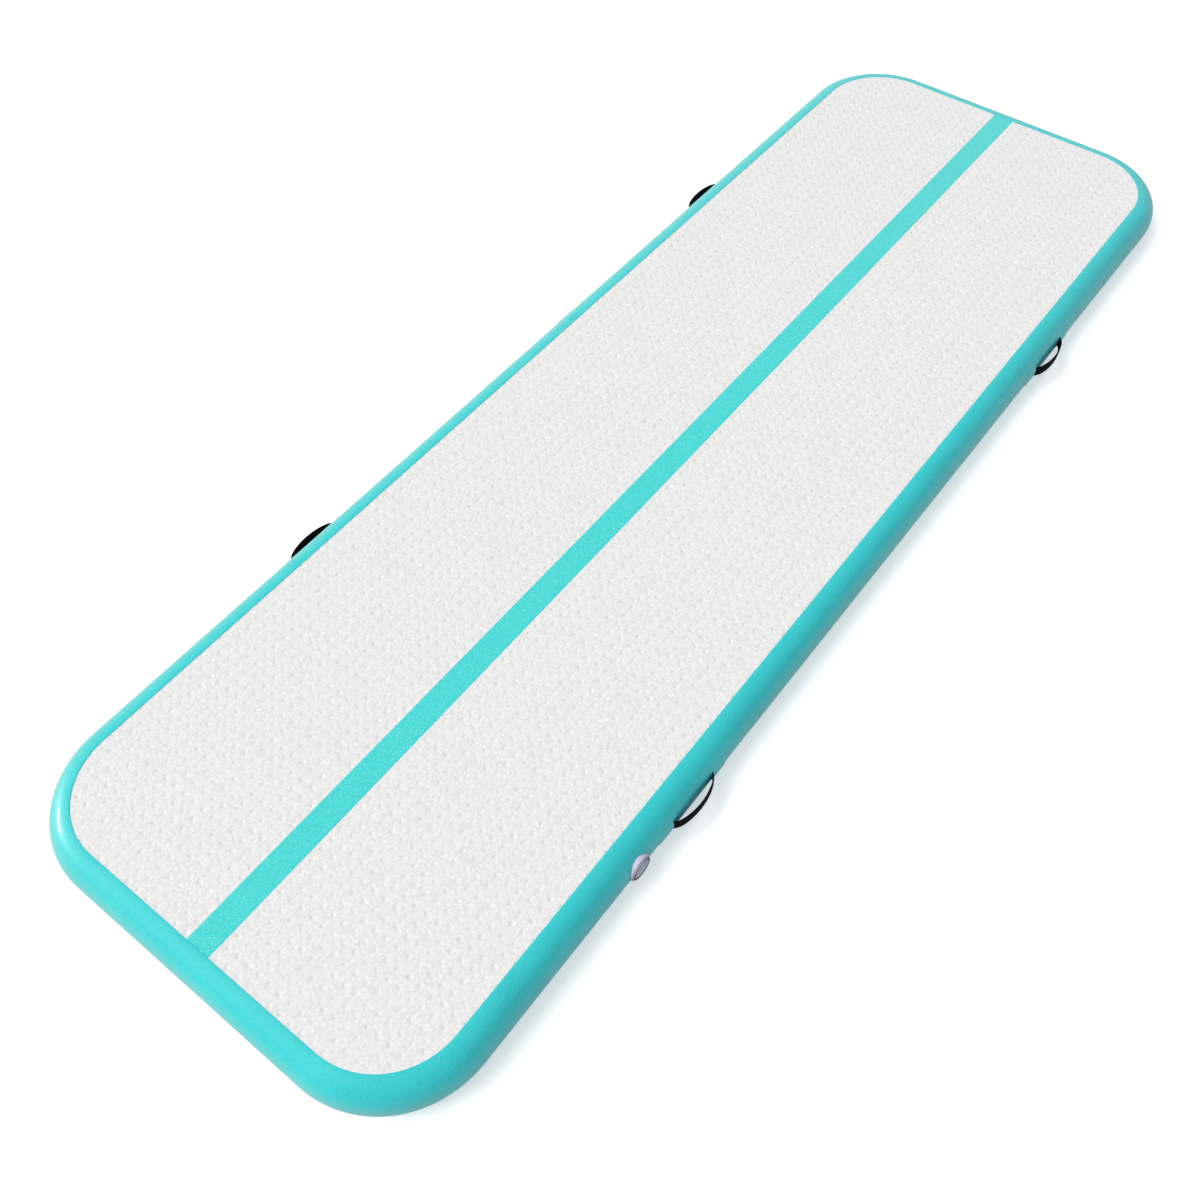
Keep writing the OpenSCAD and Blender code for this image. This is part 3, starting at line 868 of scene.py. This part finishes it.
def build_splice():
    """Strip over the band's joint, up and down the -X wall."""
    low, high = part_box("side_band_splice")
    half_y = (high.y - low.y) / 2
    half_arc = math.radians(78) * WALL_R
    radius = 4 * MM
    fine_end = half_y - 2 * MM
    ys = unique_stops(np.linspace(-half_y, -fine_end, 6), np.linspace(-fine_end, fine_end, 14),
                      np.linspace(fine_end, half_y, 6))
    arcs = np.linspace(-half_arc, half_arc, 90)
    depth = rounded_depth(*np.meshgrid(ys, arcs, indexing="ij"), half_y, half_arc, radius)
    height = -0.22 * MM + 0.78 * MM * np.sqrt(ease(-0.0001, 0.0011, depth))
    keep = rounded_depth(*cell_centres(ys, arcs), half_y, half_arc, radius) > 0
    wall_sheet("band_splice", "side_band_splice", -1, (low.y + high.y) / 2, ys, arcs, height,
               keep, inner=-0.45 * MM)


build_splice()


# ---------------------------------------------------------------- webbing loops
def loop_path(reach):
    """Middle of the webbing from one slit to the other: out from the wall, along it."""
    def arch(a):
        return np.array([reach * (0.75 * math.sin(a) + 0.25 * math.sin(a) ** 2),
                         -LOOP_HALF * math.cos(a)])
    # out of the slit, a tight turn from under the patch: out, along from the slit, in mm
    turn = [(0.70, -4.6), (0.71, -3.6), (0.75, -2.6), (0.87, -1.7), (1.22, -0.7), (1.9, 0.1),
            (2.8, 0.75)]
    start = [np.array((out * MM, along * MM - LOOP_HALF)) for out, along in turn]
    middle = []
    for k in range(7, 64):
        a = math.pi * k / 70
        tangent = arch(a + 1e-4) - arch(a - 1e-4)
        tangent /= np.linalg.norm(tangent)
        # moved in towards the wall
        middle.append(arch(a) + 0.9 * MM * np.array([-tangent[1], tangent[0]]))
    end = [np.array([out, -along]) for out, along in reversed(start)]
    return start + middle + end


def build_strap(key):
    side, mid_y, reach = HANDLES[key]
    half_w, half_t = 13.5 * MM, 0.92 * MM
    path, run = resample(loop_path(reach), 0.62 * MM)
    normal = path_normals(path)     # away from the wall
    # section: place across, and which face (+1 outer, -1 inner, between on the edges)
    flat = half_w - half_t
    half = [(z, 1.0) for z in np.linspace(-1, 1, 44) * flat]
    half += [(flat + half_t * math.sin(a), math.cos(a))
             for a in np.radians([30, 60, 90, 120, 150])]
    section = whole_section(half)
    across = section[:, 0][None, :]
    face = section[:, 1][None, :]
    along = run[:, None]
    total = run[-1]
    # raised warp columns and slanting picks
    wave = np.sin(2 * np.pi * across / (2 * RIB_PITCH))
    pick = np.sin(2 * np.pi * along / PICK_PITCH
                  + np.sign(wave) * 2 * np.pi * across / SLANT_PITCH)
    weave = ((0.055 * np.abs(wave) + 0.045 * pick - 0.02) * MM
             * (np.abs(across) < half_w - 1.0 * MM))
    # thinner in the slits, thicker out along the loop
    root = np.minimum(along, total - along)
    thin = 0.20 * MM * (1 - ease(3 * MM, 7 * MM, root))
    thick = 0.44 * MM * ease(7 * MM, 22 * MM, root)
    offset = face * (half_t + weave - thin + thick)
    # lies to the curve of the wall at the roots, flat further out, with a slight cup
    hug = 1 - ease(1 * MM, 16 * MM, root)
    sag = -hug * across ** 2 / (2 * WALL_R) - (1 - hug) * 0.35 * MM * (across / half_w) ** 2
    # slack webbing leans a little
    lean = 0.7 * MM * np.sin(np.pi * along / total) ** 2 * (across / half_w)
    out = path[:, 0:1] + normal[:, 0:1] * offset + sag + lean * 0.6
    y = path[:, 1:2] + normal[:, 1:2] * offset
    verts = points(side * (HALF_W + out), mid_y + y, WALL_R + across)
    ob = fix_normals(make("strap_" + key, verts, tube_faces(len(path), len(section)),
                          uvs=points(along, across)))
    finish(ob, 70, M_WEB, "handle_strap_" + key)
    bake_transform(ob)


for handle in HANDLES:
    build_strap(handle)


# ---------------------------------------------------------------- valve helpers
# Profiles are in mm: distance from the valve's axis, distance out of the wall.
def at_valve(out, up, along):
    """Valve frame, in metres: out of the wall, up, and along the mat."""
    return (VALVE.x + out, VALVE.y + along, VALVE.z + up)


def unwarped(radius, out, phi):
    return radius, out


def lathe(name, profile, segments, closed=False, warp=unwarped):
    """Turns a profile round the valve's axis. warp may move a point."""
    verts = []
    for i in range(segments):
        phi = 2 * math.pi * i / segments
        for point in profile:
            radius, out = warp(*point, phi)
            verts.append(at_valve(out * MM, radius * MM * math.sin(phi),
                                  radius * MM * math.cos(phi)))
    faces = quads(segments, len(profile), wrap_rows=True, wrap_cols=closed)
    ob = make(name, verts, faces)
    with editing(ob) as bm:
        bmesh.ops.remove_doubles(bm, verts=bm.verts, dist=1e-7)
        bmesh.ops.dissolve_degenerate(bm, dist=1e-8, edges=bm.edges)
        bmesh.ops.recalc_face_normals(bm, faces=bm.faces)
    return ob


def arc(centre_r, centre_out, radius, start, end, steps):
    """Profile points on an arc between two angles in degrees."""
    out = []
    for k in range(steps + 1):
        a = math.radians(start + (end - start) * k / steps)
        out.append((centre_r + radius * math.cos(a), centre_out + radius * math.sin(a)))
    return out


def bar(name, base, top, half_length, half_width, fillet, end_r):
    """Bar with rounded ends, along the mat, standing from base to top. Sizes in mm."""
    def outline(grow):
        length, width, radius = half_length + grow, half_width + grow, end_r + grow
        corners = []
        for x, y, start in ((1, 1, 0), (-1, 1, 90), (-1, -1, 180), (1, -1, 270)):
            for k in range(9):
                a = math.radians(start + 90 * k / 8)
                corners.append((x * (length - radius) + radius * math.cos(a),
                                y * (width - radius) + radius * math.sin(a)))
        return corners
    rings = [(0, base), (0, top - fillet)]
    for k in range(1, 6):
        a = math.radians(90 * k / 5)
        rings.append((-fillet * (1 - math.cos(a)), top - fillet + fillet * math.sin(a)))
    verts = [at_valve(out * MM, up * MM, along * MM)
             for grow, out in rings for along, up in outline(grow)]
    return fix_normals(make(name, verts, tube_faces(len(rings), 36)))


def block(name, half_along, half_up, out_span, turn):
    """Block across the valve's axis, turned about it by degrees. Sizes in mm."""
    a = math.radians(turn)
    verts = []
    for out in out_span:
        for x, y in ((-1, -1), (1, -1), (1, 1), (-1, 1)):
            along, up = x * half_along, y * half_up
            verts.append(at_valve(out * MM, (along * math.sin(a) + up * math.cos(a)) * MM,
                                  (along * math.cos(a) - up * math.sin(a)) * MM))
    faces = [(0, 1, 2, 3), (4, 7, 6, 5), (0, 4, 5, 1), (1, 5, 6, 2), (2, 6, 7, 3), (3, 7, 4, 0)]
    return fix_normals(make(name, verts, faces))


# ---------------------------------------------------------------- valve body
ON_WALL = -99       # marks profile points that sit on the wall under the flange


def saddle(radius, out, phi):
    """Lays the marked points just inside the wall's curve."""
    if out == ON_WALL:
        up = radius * math.sin(phi)
        return radius, -51 + math.sqrt(51 * 51 - up * up) - 0.12
    return radius, out


def build_valve_body():
    """Flange, port, neck with thread turns, and a spoked seat with a guide for the stem."""
    thread = []
    for k in range(13):
        out = -17 - k * 1.15
        thread += [(20.0, out), (19.55, out - 0.45), (19.55, out - 0.7)]
    profile = (
        # flange's edge and ringed face
        [(28.0, ON_WALL), (28.0, 0.55)] + arc(27.0, 0.55, 1.0, 0, 62, 5)
        + [(26.6, 1.95)] + arc(26.1, 1.55, 0.75, 50, 90, 3)
        + [(25.4, 2.3), (25.1, 2.0), (24.9, 1.75), (24.6, 1.75), (24.3, 1.95), (24.0, 2.4),
           (23.6, 2.5), (19.0, 2.5)]
        # port
        + arc(18.6, 1.4, 1.1, 90, 180, 6) + [(17.5, 1.0), (17.5, -31.4)]
        # seat
        + [(17.3, -31.85), (16.9, -32.0), (12.9, -32.0), (12.6, -32.15), (12.5, -32.5),
           (12.5, -33.6), (12.8, -34.0), (19.6, -34.0), (20.0, -33.6)]
        # neck, back to the wall
        + thread[::-1] + [(20.0, -16.0), (20.0, ON_WALL)])
    ob = lathe("valve_flange_body", profile, 144, closed=True, warp=saddle)
    for turn in (0, 60, 120):
        boolean(ob, block("rib", 13.4, 1.0, (-33.95, -30.0), 90 + turn), "UNION")
    guide = lathe("guide", [(3.1, -28.3), (3.4, -28.0), (5.1, -28.0), (5.5, -28.4),
                            (5.5, -33.98), (3.1, -33.98)], 64, closed=True)
    boolean(ob, guide, "UNION")
    hole = lathe("hole", [(0, -40), (3.06, -40), (3.06, -20), (0, -20)], 64)
    boolean(ob, hole, "DIFFERENCE")
    finish(ob, 32, M_BODY, "valve_body", "mat")


build_valve_body()


# ---------------------------------------------------------------- valve cap
def knurl(radius, out, phi):
    """Forty shallow grooves round the rim."""
    if radius > 24.3 and 2.7 < out < 4.35:
        return radius - 0.35 * (0.5 + 0.5 * math.cos(phi * 40)) ** 2, out
    return radius, out


def build_cap():
    """Plug, dished face, ribbed rim and grip bar."""
    profile = (
        # dish
        [(0, 3.95), (12, 3.95), (19.6, 3.95)] + arc(19.9, 4.55, 0.6, -90, -10, 4)
        # rim
        + [(20.6, 5.0)] + arc(21.2, 4.95, 0.5, 170, 90, 3)
        + [(22.6, 5.42)] + arc(23.3, 4.25, 1.15, 88, 12, 6)
        + [(24.5, 4.05), (24.5, 3.1)] + arc(24.05, 3.05, 0.45, 0, -90, 3)
        # plug with its ring groove
        + [(18.2, 2.6), (17.42, 2.5), (17.42, -1.62), (17.25, -1.7), (15.78, -1.7),
           (15.75, -3.45), (17.25, -3.45), (17.42, -3.53), (17.42, -4.5)]
        + arc(16.92, -4.5, 0.5, 0, -90, 3)
        # hollow inside, with the boss at the axis
        + [(14.3, -5.0), (14.0, -4.7), (14.0, 1.9), (13.7, 2.2), (4.3, 2.2), (4.0, 1.9),
           (4.0, -0.1), (3.8, -0.3), (1.8, -0.3), (1.6, -0.1), (1.6, 3.2), (0, 3.2)])
    ob = lathe("valve_cap_disc", profile, 200, warp=knurl)
    grip = bar("grip", base=3.8, top=5.58, half_length=20.2, half_width=3.0, fillet=0.7,
               end_r=2.6)
    boolean(ob, grip, "UNION")
    finish(ob, 32, M_CAP, "valve_cap", "cap")


build_cap()


# ---------------------------------------------------------------- valve stem
def build_stem():
    """Stem with its push button and a small bar across it."""
    profile = (
        [(0, -41.0), (3.9, -41.0)] + arc(3.9, -40.5, 0.5, -90, 0, 3)
        + [(4.4, -39.3), (4.2, -39.1), (3.0, -39.1), (3.0, -12.3), (3.3, -12.0), (7.5, -12.0)]
        + arc(7.4, -11.4, 0.6, -90, 0, 3) + arc(7.2, -10.2, 0.8, 0, 90, 4)
        + [(5.0, -9.55), (0, -9.7)])
    ob = lathe("valve_push_stem", profile, 96)
    cross_bar = bar("stem_bar", base=-10.4, top=-7.75, half_length=5.9, half_width=1.5,
                    fillet=0.5, end_r=1.3)
    boolean(ob, cross_bar, "UNION")
    # turned so that the bar runs up and down
    ob.data.transform(Matrix.Translation(VALVE) @ Matrix.Rotation(math.radians(90), 4, "X")
                      @ Matrix.Translation(-VALVE))
    finish(ob, 32, M_STEM, "valve_stem", "stem")


build_stem()


# ---------------------------------------------------------------- spring
def build_spring():
    """A coil of round wire with closed end turns."""
    coil_r, wire_r, turns = 5.2 * MM, 0.45 * MM, 6.5
    inner_end, height = -27.5, 15.0         # of the wire's middle, in mm
    closed = 0.11                           # share of the wire in each flat end turn
    rings, around = 420, 14
    t = np.linspace(0, 1, rings)
    phase = 2 * np.pi * turns * t
    out = inner_end + height * np.clip((t - closed) / (1 - 2 * closed), 0, 1)
    centre = np.stack([VALVE.x + out * MM, VALVE.y + coil_r * np.cos(phase),
                       VALVE.z + coil_r * np.sin(phase)], 1)
    tangent = np.gradient(centre, axis=0)
    tangent /= np.linalg.norm(tangent, axis=1)[:, None]
    radial = np.stack([np.zeros(rings), np.cos(phase), np.sin(phase)], 1)
    radial -= (radial * tangent).sum(1)[:, None] * tangent
    radial /= np.linalg.norm(radial, axis=1)[:, None]
    binormal = np.cross(tangent, radial)
    angles = np.linspace(0, 2 * np.pi, around, endpoint=False)[None, :, None]
    verts = centre[:, None, :] + wire_r * (np.cos(angles) * radial[:, None, :]
                                           + np.sin(angles) * binormal[:, None, :])
    ob = fix_normals(make("valve_coil_spring", verts.reshape(-1, 3), tube_faces(rings, around)))
    finish(ob, 60, M_WIRE, "valve_spring", "mat")
    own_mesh(ob)


build_spring()


# ---------------------------------------------------------------- leash
def build_leash():
    """An eye round the swivel, a run across the cap's inside, then a folded ribbon down to
    its foot in the port."""
    # below the valve's axis, out of the wall, in mm
    stops = [
        (2.2, -0.85), (5.0, -0.85), (9.0, -0.9), (11.6, -1.3), (12.7, -2.6), (12.9, -4.6),
        (12.6, -6.2), (11.4, -7.6), (11.2, -9.0), (13.0, -10.4), (15.4, -11.6), (15.6, -13.0),
        (13.4, -14.2), (11.6, -15.4), (11.8, -16.8), (13.8, -17.9), (16.2, -18.8),
        (16.95, -20.0), (16.95, -23.0)]
    half_t = 0.40 * MM
    path, run = resample([np.array(stop) * MM for stop in stops], 0.45 * MM)
    normal = path_normals(path)
    total = run[-1]
    # wider at the foot
    half_w = 2.0 * MM + 1.6 * MM * ease(total - 4 * MM, total - 1.5 * MM, run)
    # section: shares of the half width and of the half thickness
    section = whole_section([(-1, 0.6), (-0.9, 1), (-0.5, 1), (0, 1), (0.5, 1), (0.9, 1),
                             (1, 0.6)])
    face = section[:, 1][None, :]
    below = path[:, 0:1] + normal[:, 0:1] * face * half_t
    out = path[:, 1:2] + normal[:, 1:2] * face * half_t
    verts = points(VALVE.x + out, VALVE.y + section[:, 0][None, :] * half_w[:, None],
                   VALVE.z - below)
    ob = fix_normals(make("cap_leash_ribbon", verts, tube_faces(len(path), len(section))))
    eye = lathe("eye", [(1.62, -1.2), (1.7, -1.28), (4.0, -1.28), (4.25, -1.1), (4.25, -0.6),
                        (4.0, -0.42), (1.7, -0.42), (1.62, -0.5)], 64, closed=True)
    boolean(ob, eye, "UNION")
    pin = lathe("pin", [(0, -2.0), (1.62, -2.0), (1.62, 0.2), (0, 0.2)], 48)
    boolean(ob, pin, "DIFFERENCE")
    finish(ob, 45, M_LEASH, "cap_leash")
    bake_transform(ob)


build_leash()

# ---------------------------------------------------------------- materials on the CAD nodes that stay
KEPT = {
    "drop_stitch_yarns": M_YARN, "inner_side_strip": M_WALL, "valve_patch": M_PANEL,
    "valve_gasket": M_RUBBER, "valve_nut": M_BODY, "valve_diaphragm": M_RUBBER,
    "diaphragm_retainer": M_STEM, "cap_o_ring": M_RUBBER, "leash_swivel": M_CAP,
}
for handle in HANDLES:
    KEPT["handle_tails_" + handle] = M_WEB
for node_name, mat in KEPT.items():
    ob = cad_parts[node_name]
    for slot in ob.material_slots:
        slot.material = mat
    if not ob.material_slots:
        ob.data.materials.append(mat)


# ---------------------------------------------------------------- floor
def build_floor():
    """Pale floor just under the mat, lifted with some glow where the camera sees it."""
    half, z = 30, -0.0006
    mat, net = new_material("pale_floor")
    seen = net.node("ShaderNodeLightPath").outputs["Is Camera Ray"]
    pale = net.mix(net.noise(net.coords(), scale=1.3), (0.84, 0.805, 0.78), (0.86, 0.825, 0.80))
    net.surface({
        "Base Color": net.mix(seen, (0.76, 0.745, 0.72), pale),
        "Emission Strength": net.times(seen, 0.48),
        "Roughness": 0.9,
        "Specular IOR Level": 0.1,
        "Emission Color": (1, 1, 1)})
    corners = [(-half, -half, z), (half, -half, z), (half, half, z), (-half, half, z)]
    floor = make("floor", corners, [(0, 1, 2, 3)])
    dress(floor, mat)


build_floor()


# ---------------------------------------------------------------- world
def build_world():
    """White to the camera; it lights the mat white from -X, fading to a dimmer blue at +X."""
    world = bpy.data.worlds.new("studio")
    scene.world = world
    world.use_nodes = True
    world.node_tree.nodes.clear()
    net = Net(world.node_tree)
    output = net.node("ShaderNodeOutputWorld")
    background = net.node("ShaderNodeBackground")
    net.fill(output, {0: background.outputs[0]})
    white = (1.0, 1.0, 1.0)
    direction = net.sep(net.coords("Generated"))
    whiteness = net.remap(direction[0], span=(-0.7, 0.8), to=(1.0, 0.0))
    seen = net.node("ShaderNodeLightPath").outputs["Is Camera Ray"]
    net.fill(background, {
        "Color": net.mix(seen, net.mix(whiteness, (0.50, 0.60, 0.76), white), white),
        "Strength": net.remap(seen, span=(0.0, 1.0), to=(0.57, 1.05))})


build_world()


# ---------------------------------------------------------------- lights
def add_light(name, kind, location, back, **settings):
    """A light whose back points along a vector, so that it shines the other way."""
    data = bpy.data.lights.new(name, kind)
    for key, value in settings.items():
        setattr(data, key, value)
    ob = bpy.data.objects.new(name, data)
    scene.collection.objects.link(ob)
    ob.location = location
    ob.rotation_euler = back.to_track_quat("Z", "Y").to_euler()
    return ob


# broad soft key from above the -X, -Y corner
key_from = Vector((-0.45, -0.45, 0.77))
key_light = add_light("key", "SUN", key_from * 6, key_from, energy=2.52,
                      angle=math.radians(48), color=(1.0, 0.985, 0.955))
key_light.visible_glossy = False

# low panel that only adds highlights to the wall at that corner
glint_at = Vector((-CORNER_X - FACE_CORNER - 0.03, -CORNER_Y - FACE_CORNER * 0.6, WALL_R))
glint_from = glint_at + Vector((-0.83, -0.391, 0.397)) * 5.0
glint = add_light("glint", "AREA", glint_from, glint_from - glint_at, shape="RECTANGLE",
                  size=0.9, size_y=0.6, energy=150)
glint.visible_diffuse = False

# ---------------------------------------------------------------- camera
# From world to a view frame with Y down and Z ahead: a turn (axis times radians), then a shift.
VIEW_TURN = np.array([2.4175, 0.81743, -0.28379])
VIEW_SHIFT = np.array([216.53299, -310.89468, 2846.38863]) * MM

turn_angle = np.linalg.norm(VIEW_TURN)
ax, ay, az = VIEW_TURN / turn_angle
cross = np.array([[0, -az, ay], [az, 0, -ax], [-ay, ax, 0]])
to_view = (np.eye(3) + math.sin(turn_angle) * cross
           + (1 - math.cos(turn_angle)) * cross @ cross)
pose = np.eye(4)
pose[:3, :3] = to_view.T * [1, -1, -1]      # a camera has Y up and looks along -Z
pose[:3, 3] = -to_view.T @ VIEW_SHIFT

cam_data = bpy.data.cameras.new("camera")
cam = bpy.data.objects.new("camera", cam_data)
scene.collection.objects.link(cam)
cam.matrix_world = Matrix(pose.tolist())
cam_data.sensor_width = 36
cam_data.sensor_fit = "HORIZONTAL"
cam_data.lens = 37.1510823
cam_data.clip_start = 0.02
cam_data.clip_end = 100
scene.camera = cam

scene.view_settings.view_transform = "Standard"
scene.view_settings.look = "None"
